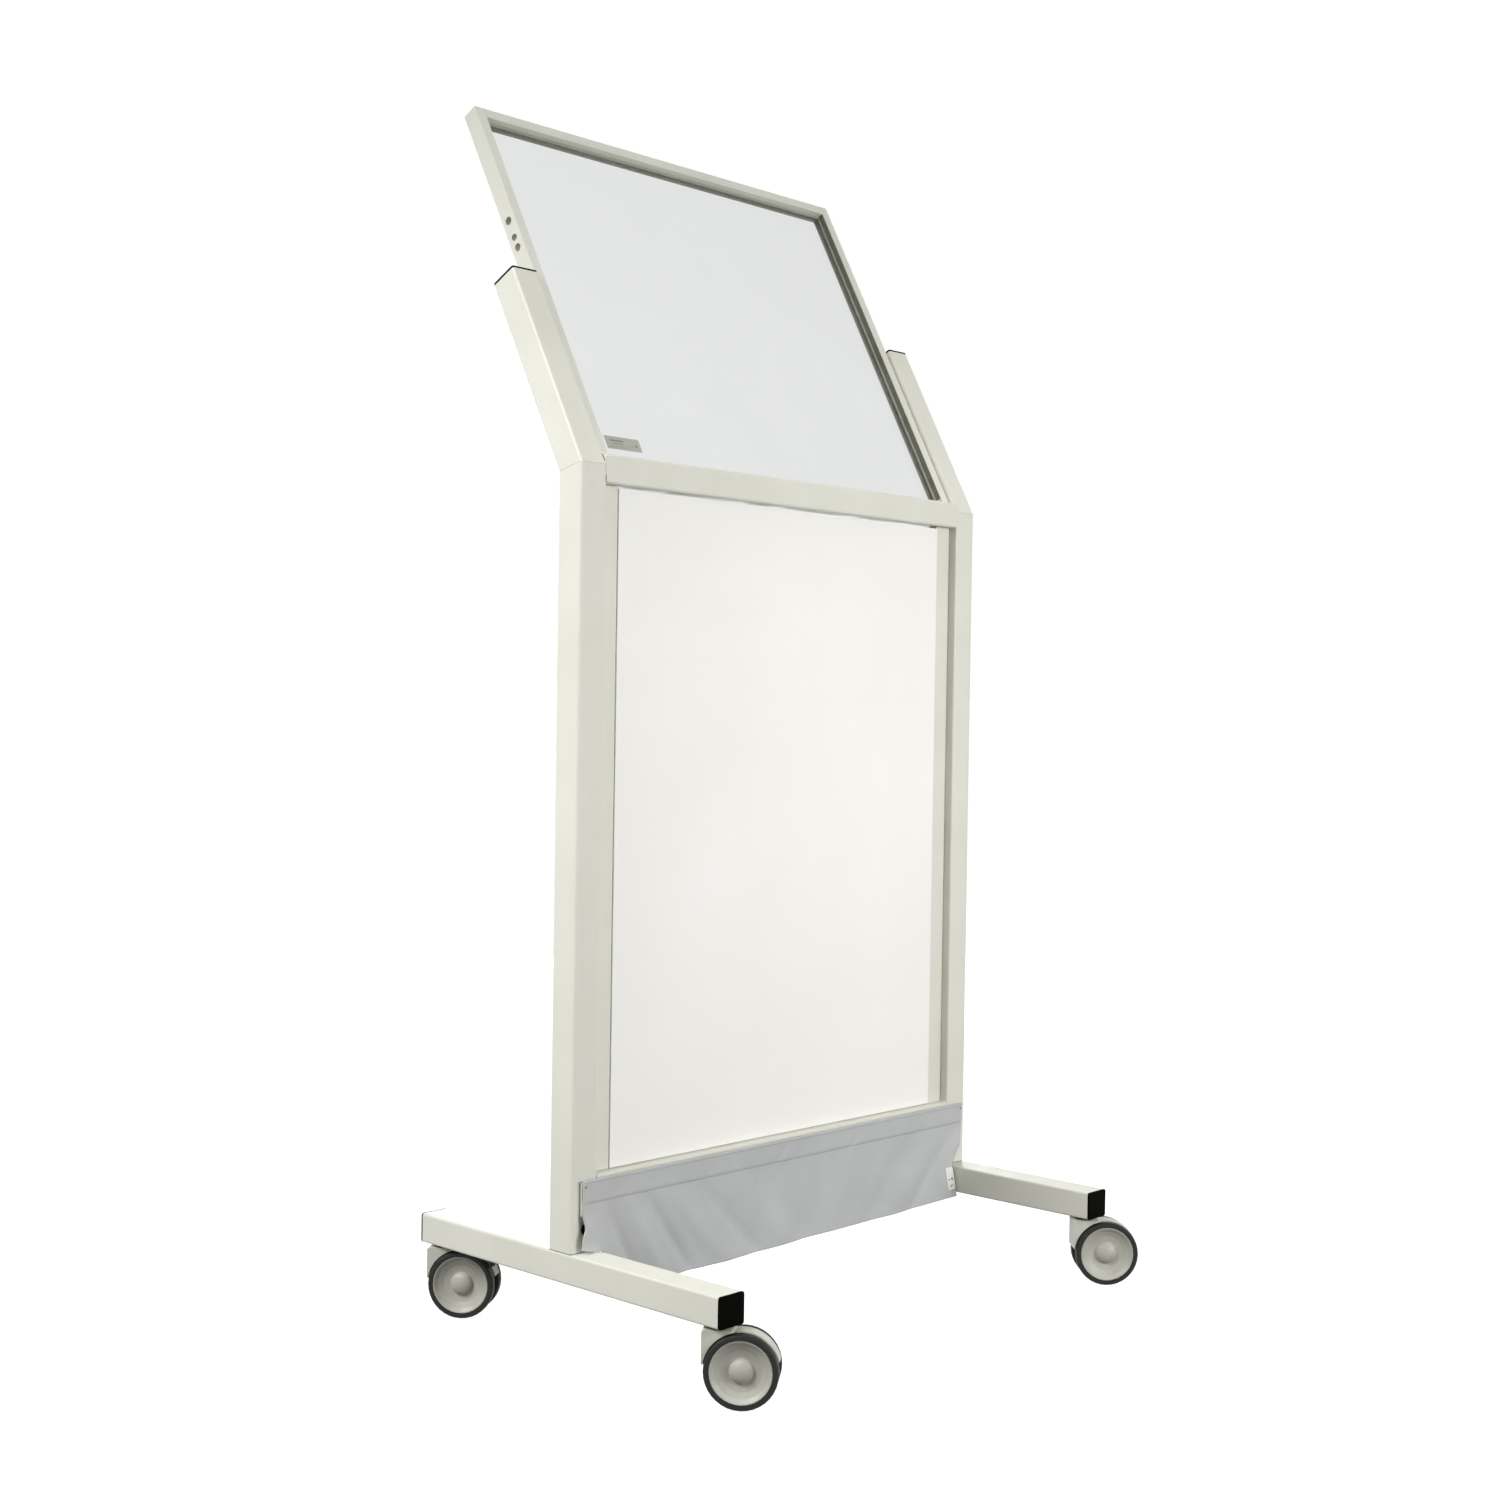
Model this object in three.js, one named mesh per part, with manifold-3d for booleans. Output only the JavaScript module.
// Mobile X-ray protective screen: two posts on castored feet, a leaded window that leans
// back above the knee, a lead-cored lower panel and a hanging lead-rubber skirt.
// Units mm, +Z up, front of the screen towards -Y, floor at Z = 0. The shapes are worked out
// about the middle of the two posts, and the whole is then moved so that the origin lies on
// the floor under the middle of its overall box.
import * as THREE from 'three';
import Module from 'manifold-3d';

const wasm = await Module();
wasm.setup();

// ---- driving dimensions -------------------------------------------------------------
const WIDTH = 914;          // over the two posts
const TUBE = 48;            // square post tube
const WALL = 2.5;
const CORNER = 4;           // outside corner radius of the tubes
const FOOT_H = 44;
const FOOT_TOP = 152.5;
const FOOT_LEN = 628;
const CAP_T = 3;
const KNEE_Z = 1270.7;      // height of the knee on the post centreline
const LEAN = THREE.MathUtils.degToRad(27.9);
const UPPER = 326;          // post length above the knee
const CROSS_LO = 1249.6, CROSS_HI = 1291.8;
const RAIL_LO = 217, RAIL_HI = 261;
const GAP = 0.3;            // air between touching pieces
const SEAT = 1;             // seam between a post and the foot it stands on
const CENTRE = [23.65, -26.9]; // middle of the overall box, seen from between the posts

const WIN_W = 814.4;        // window frame, outside width
const WIN_TOP = 641;        // top of the window frame above the knee, along the lean
const WIN_BAR = 17;
const WIN_FRONT = 17, WIN_BACK = -11;
const PANE_FRONT = 4, PANE_BACK = -2;
const PANE_FOOT = 14;       // where the pane's lower edge stands, along the lean

const PANEL_HALF = 372;
const PANEL_LO = 262, PANEL_HI = 1246;
const BAR_HALF = 441.5, BAR_T = 4;
const SKIRT_HALF = 440, SKIRT_TOP = 257, SKIRT_KNEE = 158, SKIRT_LOW = 93;

const WHEEL_R = 51, RIM_R = 43.2, TRAIL = 34, HALF_OVER = 27, HALF_HOOD = 11.2;
const SWIVEL_Y = { front: -292, rear: 292 };
const SWIVEL_TURN = { left_front: 53, left_rear: 55, right_front: 45, right_rear: 50 };

// ---- materials ----------------------------------------------------------------------
const enamel = () => mat(0xdfe0d4, 0.45, 0.0);
const black = () => mat(0x171716, 0.5, 0.0);
const greyPlastic = () => mat(0xc9cac2, 0.5, 0.0);
function mat(color, roughness, metalness) {
  return new THREE.MeshStandardMaterial({ color, roughness, metalness });
}

const group = new THREE.Group();
group.name = 'mobile_protective_screen';

// ---- small helpers ------------------------------------------------------------------
// Merges vertices on position, drops slivers and turns the skin outward.
function solid(geo) {
  const src = geo.index ? geo.toNonIndexed() : geo;
  const p = src.attributes.position;
  const ids = new Map(), verts = [], tris = [];
  const id = (i) => {
    const v = [p.getX(i), p.getY(i), p.getZ(i)];
    const key = v.map((c) => Math.round(c * 2000)).join(',');
    if (!ids.has(key)) { ids.set(key, verts.length / 3); verts.push(...v); }
    return ids.get(key);
  };
  for (let i = 0; i < p.count; i += 3) {
    const t = [id(i), id(i + 1), id(i + 2)];
    if (t[0] !== t[1] && t[1] !== t[2] && t[2] !== t[0]) tris.push(t);
  }
  let vol = 0;
  const at = (i) => new THREE.Vector3(verts[3 * i], verts[3 * i + 1], verts[3 * i + 2]);
  for (const [a, b, c] of tris) vol += at(a).dot(at(b).cross(at(c)));
  const out = new THREE.BufferGeometry();
  out.setAttribute('position', new THREE.Float32BufferAttribute(verts, 3));
  out.setIndex(tris.flatMap(([a, b, c]) => (vol < 0 ? [a, c, b] : [a, b, c])));
  out.computeVertexNormals();
  return out;
}
function toManifold(geo) {
  const g = solid(geo);
  return new wasm.Manifold(new wasm.Mesh({
    numProp: 3,
    vertProperties: new Float32Array(g.attributes.position.array),
    triVerts: new Uint32Array(g.index.array),
  }));
}
function fromManifold(m) {
  const mesh = m.getMesh();
  const g = new THREE.BufferGeometry();
  g.setAttribute('position', new THREE.Float32BufferAttribute(mesh.vertProperties, 3));
  g.setIndex(Array.from(mesh.triVerts));
  return g;
}
function joined(...geos) {
  return fromManifold(geos.map(toManifold).reduce((a, b) => a.add(b)));
}
function add(name, geo, material) {
  const mesh = new THREE.Mesh(solid(geo), material);
  mesh.name = name;
  group.add(mesh);
}
// Polygon with every corner rounded by r.
function rounded(points, r, Kind = THREE.Shape) {
  const shape = new Kind();
  const n = points.length;
  const v = points.map(([x, y]) => new THREE.Vector2(x, y));
  v.forEach((c, i) => {
    const a = v[(i + n - 1) % n], b = v[(i + 1) % n];
    const ra = Math.min(r, c.distanceTo(a) / 2.2), rb = Math.min(r, c.distanceTo(b) / 2.2);
    const s = c.clone().lerp(a, ra / c.distanceTo(a)), e = c.clone().lerp(b, rb / c.distanceTo(b));
    if (i === 0) shape.moveTo(s.x, s.y); else shape.lineTo(s.x, s.y);
    shape.quadraticCurveTo(c.x, c.y, e.x, e.y);
  });
  shape.closePath();
  return shape;
}
function polygon(points) {
  const shape = new THREE.Shape();
  points.forEach(([x, y], i) => (i ? shape.lineTo(x, y) : shape.moveTo(x, y)));
  shape.closePath();
  return shape;
}
const rect = (x0, y0, x1, y1) => [[x0, y0], [x1, y0], [x1, y1], [x0, y1]];
function extrude(shape, depth, segments = 4) {
  return new THREE.ExtrudeGeometry(shape, { depth, bevelEnabled: false, curveSegments: segments });
}
// A section drawn in (Y, Z) and run along X from x0 to x1.
function alongX(shape, x0, x1, segments) {
  const g = extrude(shape, x1 - x0, segments);
  const m = new THREE.Matrix4().makeBasis(
    new THREE.Vector3(0, 1, 0), new THREE.Vector3(0, 0, 1), new THREE.Vector3(1, 0, 0));
  return g.applyMatrix4(m).translate(x0, 0, 0);
}
// A section drawn in (X, Z) and run along Y from y0 to y1.
function alongY(shape, y0, y1, segments) {
  const g = extrude(shape, y1 - y0, segments);
  return g.rotateX(Math.PI / 2).translate(0, y1, 0);
}
function box(x0, y0, z0, x1, y1, z1) {
  return new THREE.BoxGeometry(x1 - x0, y1 - y0, z1 - z0)
    .translate((x0 + x1) / 2, (y0 + y1) / 2, (z0 + z1) / 2);
}
function tubeSection(w, d, r = CORNER) {
  const s = rounded(rect(-w / 2, -d / 2, w / 2, d / 2), r);
  const hw = w / 2 - WALL, hd = d / 2 - WALL;
  s.holes.push(rounded(rect(-hw, -hd, hw, hd), Math.max(r - WALL, 0.6), THREE.Path));
  return s;
}
function cylinder(r, y0, y1, segments = 24) {
  return new THREE.CylinderGeometry(r, r, y1 - y0, segments).translate(0, (y0 + y1) / 2, 0);
}
function lathe(points) {
  return new THREE.LatheGeometry(points.map(([r, y]) => new THREE.Vector2(r, y)), 36);
}
function moveEnd(geo, upper, shift) {
  const p = geo.attributes.position;
  geo.computeBoundingBox();
  const mid = (geo.boundingBox.min.z + geo.boundingBox.max.z) / 2;
  for (let i = 0; i < p.count; i++) {
    if ((p.getZ(i) > mid) === upper) p.setZ(i, p.getZ(i) + shift(p.getY(i)));
  }
  return geo;
}
// From the window's own frame (X, -normal, up the lean) to the row's frame.
const lean = (geo) => geo.rotateX(-LEAN).translate(0, 0, KNEE_Z);
const TAN = Math.tan(LEAN / 2);

// ---- feet, posts, bars --------------------------------------------------------------
for (const [side, sx] of [['left', -1], ['right', 1]]) {
  const cx = sx * (WIDTH - TUBE) / 2;
  const footMid = FOOT_TOP - FOOT_H / 2;
  const footTube = tubeSection(TUBE, FOOT_H);
  add(`${side}_foot`, alongY(footTube, -FOOT_LEN / 2, FOOT_LEN / 2).translate(cx, 0, footMid),
    enamel());
  for (const [end, sy] of [['front', -1], ['rear', 1]]) {
    const inner = FOOT_LEN / 2 + GAP, outer = FOOT_LEN / 2 + CAP_T, plug = FOOT_LEN / 2 - 12;
    const [a, b] = sy < 0 ? [-outer, -inner] : [inner, outer];
    const [c, d] = sy < 0 ? [-inner - 0.1, -plug] : [plug, inner + 0.1];
    const face = rounded(rect(-TUBE / 2, -FOOT_H / 2, TUBE / 2, FOOT_H / 2), CORNER);
    const pw = TUBE / 2 - WALL - 0.5, ph = FOOT_H / 2 - WALL - 0.5;
    const stub = rounded(rect(-pw, -ph, pw, ph), 1);
    add(`${side}_foot_cap_${end}`,
      joined(alongY(face, a, b), alongY(stub, c, d)).translate(cx, 0, footMid), black());
  }
  const lowLen = KNEE_Z - FOOT_TOP - SEAT - GAP / 2;
  const lower = moveEnd(extrude(tubeSection(TUBE, TUBE), lowLen), true, (y) => -y * TAN);
  add(`${side}_post_lower`, lower.translate(cx, 0, FOOT_TOP + SEAT), enamel());
  const upper = moveEnd(extrude(tubeSection(TUBE, TUBE), UPPER), false, (y) => y * TAN + GAP / 2);
  add(`${side}_post_upper`, lean(upper).translate(cx, 0, 0), enamel());
  const capTop = rounded(rect(-TUBE / 2, -TUBE / 2, TUBE / 2, TUBE / 2), CORNER);
  const inside = TUBE / 2 - WALL - 0.5;
  const capStub = rounded(rect(-inside, -inside, inside, inside), 1);
  add(`${side}_post_cap`, lean(joined(
    extrude(capTop, CAP_T).translate(0, 0, UPPER + GAP),
    extrude(capStub, 14).translate(0, 0, UPPER + GAP - 13.9))).translate(cx, 0, 0), black());
}

const inX = WIDTH / 2 - TUBE - GAP;
{
  // The crossbar is a tube whose top is folded in to a groove that holds the pane's foot.
  const point = (o, h) => [h * Math.sin(LEAN) - o * Math.cos(LEAN),
    KNEE_Z + h * Math.cos(LEAN) + o * Math.sin(LEAN)];
  const reach = (o) => (CROSS_HI - KNEE_Z - o * Math.sin(LEAN)) / Math.cos(LEAN);
  const gf = PANE_FRONT + 0.5, gb = PANE_BACK - 0.5, deep = PANE_FOOT - 0.5;
  const half = TUBE / 2, c = 3;
  const outline = polygon([[-half + c, CROSS_LO], [half - c, CROSS_LO], [half, CROSS_LO + c], [half, CROSS_HI - c],
    [half - 2, CROSS_HI], point(gb, reach(gb)), point(gb, deep), point(gf, deep),
    point(gf, reach(gf)), [-half + c, CROSS_HI], [-half + 1, CROSS_HI - 1],
    [-half, CROSS_HI - c], [-half, CROSS_LO + c], [-half + 1, CROSS_LO + 1]]);
  outline.holes.push(rounded(rect(-half + WALL, CROSS_LO + WALL, half - WALL, 1275.5), 1.5,
    THREE.Path));
  add('crossbar', alongX(outline, -inX, inX), enamel());
  const rail = tubeSection(TUBE, RAIL_HI - RAIL_LO);
  add('bottom_rail', alongX(rail, -inX, inX).translate(0, 0, (RAIL_LO + RAIL_HI) / 2), enamel());
}

// ---- window -------------------------------------------------------------------------
{
  const xo = WIN_W / 2, xi = xo - WIN_BAR;
  const foot = (y) => (CROSS_HI + GAP - KNEE_Z + y * Math.sin(LEAN)) / Math.cos(LEAN);
  const yf = -WIN_FRONT, yb = -WIN_BACK;
  for (const [side, x0] of [['left', -xo], ['right', xi]]) {
    const s = rounded([[yf, foot(yf)], [yb, foot(yb)], [yb, WIN_TOP], [yf, WIN_TOP]], 1.6);
    for (const [h, r] of [[436, 6.5], [406, 5.5], [388, 6]]) {
      const hole = new THREE.Path();
      hole.absarc(-2, h, r, 0, Math.PI * 2, true);
      s.holes.push(hole);
    }
    add(`window_stile_${side}`, lean(alongX(s, x0, x0 + WIN_BAR, 8)), enamel());
  }
  const top = rounded(rect(yf, WIN_TOP - WIN_BAR, yb, WIN_TOP), 1.6);
  add('window_head', lean(alongX(top, -xi + GAP, xi - GAP)), enamel());
  const px = xi - 0.4, pt = WIN_TOP - WIN_BAR - 0.4;
  add('window_pane', lean(box(-px, -PANE_FRONT, PANE_FOOT, px, -PANE_BACK, pt)),
    mat(0xe6e8e8, 0.08, 0.0));
  // A strip that runs up one side of the pane, over its top and down the other side.
  const bead = (y0, y1, lo, w) => {
    const s = polygon([[-px, lo], [-px + w, lo], [-px + w, pt - w], [px - w, pt - w],
      [px - w, lo], [px, lo], [px, pt], [-px, pt]]);
    return lean(alongY(s, y0, y1));
  };
  add('glazing_bead_front', bead(-PANE_FRONT - 3.3, -PANE_FRONT - GAP, 22.2, 2.4),
    greyPlastic());
  add('glazing_bead_rear', bead(-PANE_BACK + GAP, -PANE_BACK + 4.3, 27.8, 6), greyPlastic());
  add('window_label', lean(box(-371.8, -PANE_FRONT - 0.9, 38.1, -303, -PANE_FRONT - 0.3, 60)),
    mat(0xb0afa5, 0.4, 0.0));
}

// ---- lower panel --------------------------------------------------------------------
{
  const z0 = RAIL_HI + GAP, z1 = CROSS_LO - GAP, x0 = PANEL_HALF + GAP;
  for (const [side, sx] of [['left', -1], ['right', 1]]) {
    const s = rounded(rect(-(inX - x0) / 2, -8, (inX - x0) / 2, 8), 1.2);
    add(`panel_stile_${side}`, extrude(s, z1 - z0).translate(sx * (x0 + inX) / 2, -1, z0),
      enamel());
  }
  const w = PANEL_HALF;
  const skin = alongY(rounded(rect(-w, PANEL_LO, w, PANEL_HI), 1.5), -11, -8);
  add('panel_front_skin', skin, mat(0xf1f2ee, 0.35, 0.0));
  add('panel_lead_sheet', box(-w + 1, -7.7, PANEL_LO + 1, w - 1, -5.7, PANEL_HI - 1),
    mat(0x5d6064, 0.6, 0.6));
  add('panel_rear_board', box(-w, -5.4, PANEL_LO, w, 6.6, PANEL_HI), mat(0xf1f2ee, 0.4, 0.0));
}

// ---- skirt --------------------------------------------------------------------------
{
  const back = -TUBE / 2 - 1, front = back - BAR_T, skin = front - GAP;
  add('skirt_bar', alongY(rounded(rect(-BAR_HALF, 205, BAR_HALF, 253), 1.5), front, back),
    enamel());
  const notch = WIDTH / 2 - TUBE - 6;
  const s = rounded([[-SKIRT_HALF, SKIRT_TOP], [-SKIRT_HALF, SKIRT_KNEE], [-notch, SKIRT_KNEE],
    [-notch, SKIRT_LOW], [notch, SKIRT_LOW], [notch, SKIRT_KNEE], [SKIRT_HALF, SKIRT_KNEE],
    [SKIRT_HALF, SKIRT_TOP]], 3);
  add('lead_rubber_skirt', alongY(s, skin - 3, skin), mat(0xb5b7b6, 0.8, 0.0));
  add('skirt_label', box(376, skin - 3.9, 106, 398, skin - 3.3, 144), mat(0xe4e3da, 0.7, 0.0));
  // Mushroom-headed stops that keep the cloth off the posts.
  const stop = () => lathe([[0, GAP], [4.5, GAP], [4.5, 2.5], [8.2, 2.5], [9.2, 3.1], [9, 3.9],
    [7.6, 4.6], [4, 4.9], [0, 5]]).rotateX(Math.PI);
  for (const [side, x] of [['left', -431.5], ['right', 431.5]]) {
    add(`post_plug_${side}`, stop().translate(x, -TUBE / 2, 186), black());
  }
}

// ---- castors ------------------------------------------------------------------------
// Drawn with the swivel axis on Z and the wheels trailing towards +X, then turned.
const arc = (r, from, to, n) => Array.from({ length: n + 1 }, (_, i) => {
  const a = THREE.MathUtils.degToRad(from + (to - from) * i / n);
  return [TRAIL + r * Math.cos(a), WHEEL_R + r * Math.sin(a)];
});
const HOUSE_TOP = 104.3;
function housing() {
  const web = polygon([[-19, 57], [-12, 50], [TRAIL - 8, 36], [TRAIL + 10, 34],
    ...arc(WHEEL_R + 1, 14, 99, 16), [20, HOUSE_TOP - 0.6], [-19, HOUSE_TOP - 0.6]]);
  const neck = polygon([[-20, 59], [-19, 57.5], ...arc(WHEEL_R + 1.8, 172, 101, 10),
    [21, HOUSE_TOP], [-18, HOUSE_TOP], [-20, HOUSE_TOP - 2]]);
  const axle = cylinder(4, -17, 17, 20).translate(TRAIL, 0, WHEEL_R);
  return joined(alongY(web, -HALF_HOOD, HALF_HOOD), alongY(neck, -21, 21), axle);
}
function rim() {
  const dome = Array.from({ length: 7 }, (_, i) => {
    const a = (i / 6) * Math.PI / 2;
    return [17 * Math.cos(a), 16 + 8.6 * Math.sin(a)];
  });
  return lathe([[0, 17.5], [4.4, 17.5], [4.4, 12.6], [RIM_R, 12.6], [RIM_R, 25.6],
    [RIM_R - 0.8, 26.3], [RIM_R - 2.2, 25.8], [36, 21.5], [28, 17.6], [20, 15.8], [17.4, 15.6],
    ...dome.slice(0, -1), [0, 24.6]]);
}
const tyre = () => lathe([[RIM_R + 0.3, 12.3], [49.2, 12.3], [50.5, 13.2], [WHEEL_R, 14.6],
  [WHEEL_R, 23.8], [50.4, 25.6], [49, 26.7], [47, HALF_OVER], [RIM_R + 0.3, 26.7],
  [RIM_R + 0.3, 12.3]]);
function pedal() {
  const s = polygon([[67.2, 95.5], [81, 99], [93, 100.5], [98, 98], [98, 94.5], [93, 93.5],
    [87, 87], [85, 81], [79.2, 78.2], [77.7, 83.2], [74.2, 89.2]]);
  return alongY(s, -15, 15);
}
for (const [name, turn] of Object.entries(SWIVEL_TURN)) {
  const [side, end] = name.split('_');
  const x = (side === 'left' ? -1 : 1) * (WIDTH - TUBE) / 2, y = SWIVEL_Y[end];
  const place = (g) => g.rotateZ(-THREE.MathUtils.degToRad(turn)).translate(x, y, 0);
  const key = `castor_${side[0]}${end[0]}`;
  const bearing = new THREE.CylinderGeometry(15, 15, FOOT_TOP - FOOT_H - HOUSE_TOP - 2 * GAP, 28)
    .rotateX(Math.PI / 2).translate(0, 0, (HOUSE_TOP + FOOT_TOP - FOOT_H) / 2);
  add(`${key}_bearing`, place(bearing), mat(0x33342f, 0.6, 0.2));
  add(`${key}_housing`, place(housing()), greyPlastic());
  for (const [w, flip] of [['outer', true], ['inner', false]]) {
    const set = (g) => place((flip ? g.rotateZ(Math.PI) : g).translate(TRAIL, 0, WHEEL_R));
    add(`${key}_rim_${w}`, set(rim()), greyPlastic());
    add(`${key}_tyre_${w}`, set(tyre()), mat(0x262624, 0.75, 0.0));
  }
  if (end === 'rear') add(`${key}_pedal`, place(pedal()), mat(0x3a3c36, 0.55, 0.0));
}

group.position.set(-CENTRE[0], -CENTRE[1], 0);

export default group;
